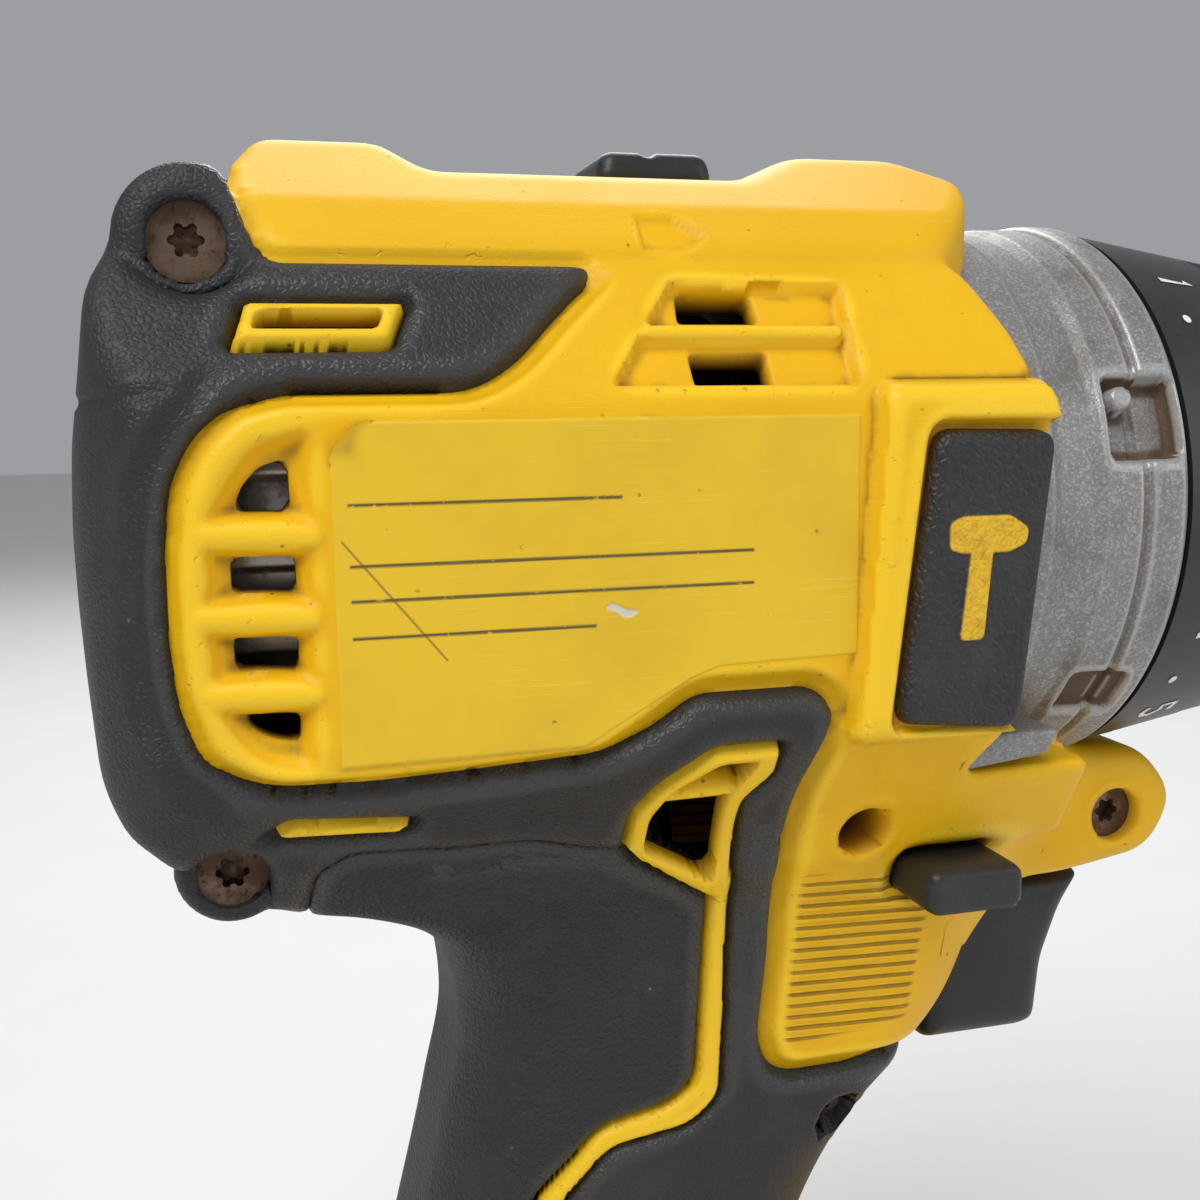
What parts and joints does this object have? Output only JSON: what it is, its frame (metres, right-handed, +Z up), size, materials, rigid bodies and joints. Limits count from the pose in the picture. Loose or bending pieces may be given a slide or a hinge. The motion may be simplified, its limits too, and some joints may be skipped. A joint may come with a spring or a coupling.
{
  "type": "cordless hammer drill driver",
  "caption": "Pistol-grip cordless hammer drill driver with yellow clamshell, black rubber grip, keyless chuck, torque collar, geared motor inside and a slide-on battery.",
  "frame": {"origin": "middle of the battery's rest face, on the surface the drill stands on", "axes": "+X out of the chuck along the spindle, +Y to the user's left, +Z up"},
  "size_m": [0.1904, 0.075, 0.2063],
  "materials": {
    "shell_yellow": "worn moulded glass-filled nylon, satin",
    "rubber_black": "moulded grip rubber, fine grain",
    "plastic_black": "fine-spark moulded plastic",
    "label_film": "thin printed film, bare",
    "screw_rust": "rusted zinc-plated steel",
    "case_silver": "silver-grey sparkle paint on a casting",
    "steel": "machined steel",
    "gear_steel": "sintered steel with grease",
    "lamination": "stacked electrical steel",
    "copper": "enamelled copper wire",
    "bronze": "oil-filled sintered bronze",
    "board_green": "solder-masked circuit board",
    "lens_clear": "clear moulded lens",
    "lead_red": "silicone-covered wire",
    "cell_wrap": "shrink-wrapped steel can",
    "contact_tin": "tinned copper alloy",
    "plate_zinc": "pressed plate"
  },
  "bodies": {
    "tool_body": {"housing_right": "shell_yellow", "housing_left": "shell_yellow", "bumper_right": "rubber_black", "bumper_left": "rubber_black", "grip_right": "rubber_black", "grip_left": "rubber_black", "mode_pad_right": "rubber_black", "mode_pad_left": "rubber_black", "rating_label": "label_film", "housing_screws": "screw_rust", "stator_core": "lamination", "stator_windings": "copper", "sensor_board": "board_green", "motor_bearings": "steel", "motor_end_plate": "plate_zinc", "ring_gears": "gear_steel", "gear_case": "case_silver", "spindle_bearing": "steel", "spindle_bush": "bronze", "fixed_ratchet": "gear_steel", "clutch_spring": "steel", "clutch_nut": "gear_steel", "trigger_switch": "plastic_black", "terminal_block": "plastic_black", "contact_blades": "contact_tin", "control_board": "board_green", "work_light_lens": "lens_clear", "work_light_board": "board_green", "leads": "lead_red"},
    "motor_rotor": {"rotor": "steel", "fan": "plastic_black"},
    "first_carrier": {"carrier": "gear_steel"},
    "output_spindle": {"spindle": "steel", "turning_ratchet": "gear_steel", "chuck_body": "steel", "chuck_rear_ring": "plastic_black", "chuck_screw": "screw_rust"},
    "chuck_sleeve": {"chuck_sleeve": "plastic_black", "chuck_nut": "gear_steel"},
    "torque_collar": {"torque_collar": "plastic_black"},
    "speed_selector": {"speed_selector": "plastic_black"},
    "trigger": {"trigger": "plastic_black"},
    "direction_button": {"direction_button": "plastic_black"},
    "battery_pack": {"battery_lower_case": "plastic_black", "battery_upper_case": "plastic_black", "battery_cells": "cell_wrap", "battery_board": "board_green", "contact_clips": "contact_tin", "battery_screws": "screw_rust"},
    "battery_latch": {"battery_latch": "shell_yellow"},
    "planet_1_1": {"planet_1_1": "gear_steel"},
    "planet_1_2": {"planet_1_2": "gear_steel"},
    "planet_1_3": {"planet_1_3": "gear_steel"},
    "planet_2_1": {"planet_2_1": "gear_steel"},
    "planet_2_2": {"planet_2_2": "gear_steel"},
    "planet_2_3": {"planet_2_3": "gear_steel"},
    "jaw_1": {"chuck_jaw_1": "steel"},
    "jaw_2": {"chuck_jaw_2": "steel"},
    "jaw_3": {"chuck_jaw_3": "steel"}
  },
  "joints": [
    {"name": "spindle_turn", "type": "hinge", "parent": "tool_body", "child": "output_spindle", "pos_m": [0, 0, 0.168], "axis": [1, 0, 0], "continuous": true},
    {"name": "rotor_turn", "type": "hinge", "parent": "tool_body", "child": "motor_rotor", "pos_m": [0, 0, 0.168], "axis": [1, 0, 0], "continuous": true},
    {"name": "carrier_turn", "type": "hinge", "parent": "tool_body", "child": "first_carrier", "pos_m": [0, 0, 0.168], "axis": [1, 0, 0], "continuous": true},
    {"name": "planet_1_1_turn", "type": "hinge", "parent": "first_carrier", "child": "planet_1_1", "pos_m": [0.02, 0.015, 0.168], "axis": [1, 0, 0], "continuous": true},
    {"name": "planet_1_2_turn", "type": "hinge", "parent": "first_carrier", "child": "planet_1_2", "pos_m": [0.02, -0.0075, 0.18099], "axis": [1, 0, 0], "continuous": true},
    {"name": "planet_1_3_turn", "type": "hinge", "parent": "first_carrier", "child": "planet_1_3", "pos_m": [0.02, -0.0075, 0.15501], "axis": [1, 0, 0], "continuous": true},
    {"name": "planet_2_1_turn", "type": "hinge", "parent": "output_spindle", "child": "planet_2_1", "pos_m": [0.02, 0.015, 0.168], "axis": [1, 0, 0], "continuous": true},
    {"name": "planet_2_2_turn", "type": "hinge", "parent": "output_spindle", "child": "planet_2_2", "pos_m": [0.02, -0.0075, 0.18099], "axis": [1, 0, 0], "continuous": true},
    {"name": "planet_2_3_turn", "type": "hinge", "parent": "output_spindle", "child": "planet_2_3", "pos_m": [0.02, -0.0075, 0.15501], "axis": [1, 0, 0], "continuous": true},
    {"name": "sleeve_turn", "type": "hinge", "parent": "output_spindle", "child": "chuck_sleeve", "pos_m": [0.09, 0, 0.168], "axis": [1, 0, 0], "range_deg": [-1776, 3036]},
    {"name": "jaw_1_slide", "type": "slide", "parent": "output_spindle", "child": "jaw_1", "axis": [0.9613, 0, -0.2756], "range_m": [-0.0127, 0.00744]},
    {"name": "jaw_2_slide", "type": "slide", "parent": "output_spindle", "child": "jaw_2", "axis": [0.9613, 0.2387, 0.1378], "range_m": [-0.0127, 0.00744]},
    {"name": "jaw_3_slide", "type": "slide", "parent": "output_spindle", "child": "jaw_3", "axis": [0.9613, -0.2387, 0.1378], "range_m": [-0.0127, 0.00744]},
    {"name": "torque_setting", "type": "hinge", "parent": "tool_body", "child": "torque_collar", "pos_m": [0.055, 0, 0.168], "axis": [1, 0, 0], "range_deg": [0, 300]},
    {"name": "speed_shift", "type": "slide", "parent": "tool_body", "child": "speed_selector", "axis": [1, 0, 0], "range_m": [-0.008, 0]},
    {"name": "trigger_pull", "type": "slide", "parent": "tool_body", "child": "trigger", "axis": [-1, 0, 0], "range_m": [0, 0.007], "stiffness_N_per_m": 700, "springref_m": -0.004},
    {"name": "direction_push", "type": "slide", "parent": "tool_body", "child": "direction_button", "axis": [0, 1, 0], "range_m": [0, 0.008]},
    {"name": "battery_slide", "type": "slide", "parent": "tool_body", "child": "battery_pack", "axis": [1, 0, 0], "range_m": [0, 0.1]},
    {"name": "latch_press", "type": "slide", "parent": "battery_pack", "child": "battery_latch", "axis": [0, 0, -1], "range_m": [0, 0.003], "stiffness_N_per_m": 900, "springref_m": -0.003}
  ],
  "couplings": [
    {"joint": "rotor_turn", "follows": "spindle_turn", "ratio": 16},
    {"joint": "carrier_turn", "follows": "spindle_turn", "ratio": 4},
    {"joint": "planet_1_1_turn", "follows": "spindle_turn", "ratio": -12},
    {"joint": "planet_1_2_turn", "follows": "spindle_turn", "ratio": -12},
    {"joint": "planet_1_3_turn", "follows": "spindle_turn", "ratio": -12},
    {"joint": "planet_2_1_turn", "follows": "spindle_turn", "ratio": -3},
    {"joint": "planet_2_2_turn", "follows": "spindle_turn", "ratio": -3},
    {"joint": "planet_2_3_turn", "follows": "spindle_turn", "ratio": -3},
    {"joint": "jaw_1_slide", "follows": "sleeve_turn", "m_per_rad": -0.00023873},
    {"joint": "jaw_2_slide", "follows": "sleeve_turn", "m_per_rad": -0.00023873},
    {"joint": "jaw_3_slide", "follows": "sleeve_turn", "m_per_rad": -0.00023873}
  ]
}
